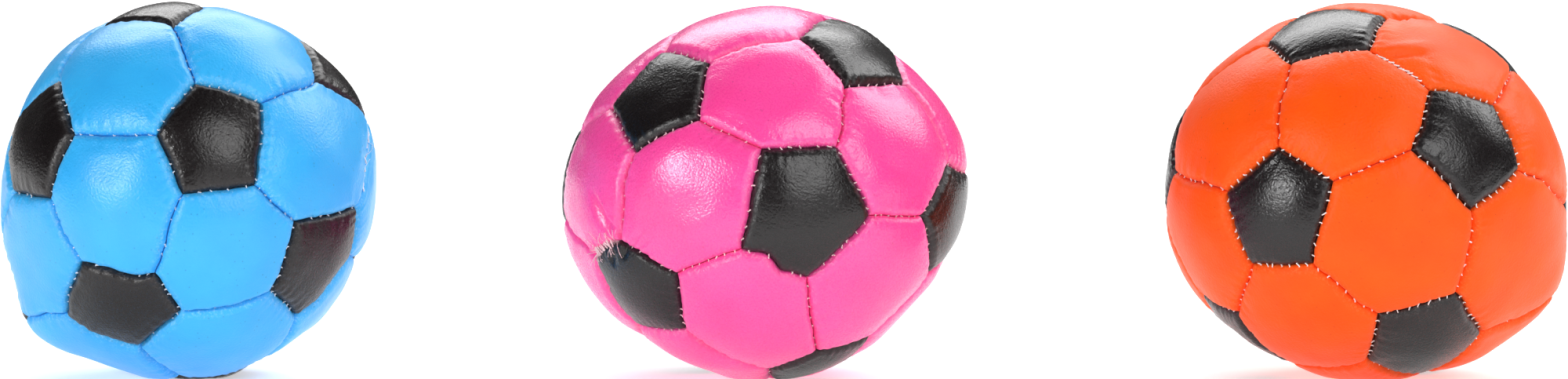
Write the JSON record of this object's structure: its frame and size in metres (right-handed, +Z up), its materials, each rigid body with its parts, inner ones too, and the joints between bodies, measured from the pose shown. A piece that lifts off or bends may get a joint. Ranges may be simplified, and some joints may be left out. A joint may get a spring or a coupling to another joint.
{
  "type": "soft mini football set",
  "caption": "Row of small soft-stuffed play footballs, each sewn from black pentagons and coloured hexagons of coated fabric, squeezable, each standing on a small pressed flat.",
  "frame": {"origin": "on the table, in the middle of the row's length and depth", "axes": "+X along the row from the blue ball to the orange ball, +Y to the back, +Z up"},
  "size_m": [0.4084, 0.1024, 0.098],
  "materials": {
    "black_panels": "black grained polyurethane-coated fabric, soft sheen",
    "blue_panels": "sky-blue polyurethane-coated fabric, satin",
    "pink_panels": "bright pink polyurethane-coated fabric, satin",
    "orange_panels": "bright orange polyurethane-coated fabric, satin",
    "fibre_filling": "packed polyester fibre",
    "thread": "off-white polyester sewing thread"
  },
  "bodies": {
    "pink_ball": {"pink_ball_black_pentagon_01": "black_panels", "pink_ball_black_pentagon_02": "black_panels", "pink_ball_black_pentagon_03": "black_panels", "pink_ball_black_pentagon_04": "black_panels", "pink_ball_black_pentagon_05": "black_panels", "pink_ball_black_pentagon_06": "black_panels", "pink_ball_black_pentagon_07": "black_panels", "pink_ball_black_pentagon_08": "black_panels", "pink_ball_black_pentagon_09": "black_panels", "pink_ball_black_pentagon_10": "black_panels", "pink_ball_black_pentagon_11": "black_panels", "pink_ball_black_pentagon_12": "black_panels", "pink_ball_hexagons_ring_1": "pink_panels", "pink_ball_hexagons_ring_2": "pink_panels", "pink_ball_hexagons_ring_3": "pink_panels", "pink_ball_hexagons_ring_4": "pink_panels", "pink_ball_fibre_filling": "fibre_filling", "pink_ball_seam_thread": "thread", "pink_ball_closing_thread": "thread"},
    "blue_ball": {"blue_ball_black_pentagon_01": "black_panels", "blue_ball_black_pentagon_02": "black_panels", "blue_ball_black_pentagon_03": "black_panels", "blue_ball_black_pentagon_04": "black_panels", "blue_ball_black_pentagon_05": "black_panels", "blue_ball_black_pentagon_06": "black_panels", "blue_ball_black_pentagon_07": "black_panels", "blue_ball_black_pentagon_08": "black_panels", "blue_ball_black_pentagon_09": "black_panels", "blue_ball_black_pentagon_10": "black_panels", "blue_ball_black_pentagon_11": "black_panels", "blue_ball_black_pentagon_12": "black_panels", "blue_ball_hexagons_ring_1": "blue_panels", "blue_ball_hexagons_ring_2": "blue_panels", "blue_ball_hexagons_ring_3": "blue_panels", "blue_ball_hexagons_ring_4": "blue_panels", "blue_ball_fibre_filling": "fibre_filling", "blue_ball_seam_thread": "thread", "blue_ball_closing_thread": "thread"},
    "orange_ball": {"orange_ball_black_pentagon_01": "black_panels", "orange_ball_black_pentagon_02": "black_panels", "orange_ball_black_pentagon_03": "black_panels", "orange_ball_black_pentagon_04": "black_panels", "orange_ball_black_pentagon_05": "black_panels", "orange_ball_black_pentagon_06": "black_panels", "orange_ball_black_pentagon_07": "black_panels", "orange_ball_black_pentagon_08": "black_panels", "orange_ball_black_pentagon_09": "black_panels", "orange_ball_black_pentagon_10": "black_panels", "orange_ball_black_pentagon_11": "black_panels", "orange_ball_black_pentagon_12": "black_panels", "orange_ball_hexagons_ring_1": "orange_panels", "orange_ball_hexagons_ring_2": "orange_panels", "orange_ball_hexagons_ring_3": "orange_panels", "orange_ball_hexagons_ring_4": "orange_panels", "orange_ball_fibre_filling": "fibre_filling", "orange_ball_seam_thread": "thread", "orange_ball_closing_thread": "thread"}
  },
  "joints": [
    {"name": "blue_ball_slide", "type": "slide", "parent": "pink_ball", "child": "blue_ball", "axis": [0, 1, 0], "range_m": [-0.12, 0.12]},
    {"name": "orange_ball_slide", "type": "slide", "parent": "pink_ball", "child": "orange_ball", "axis": [0, 1, 0], "range_m": [-0.12, 0.12]}
  ]
}
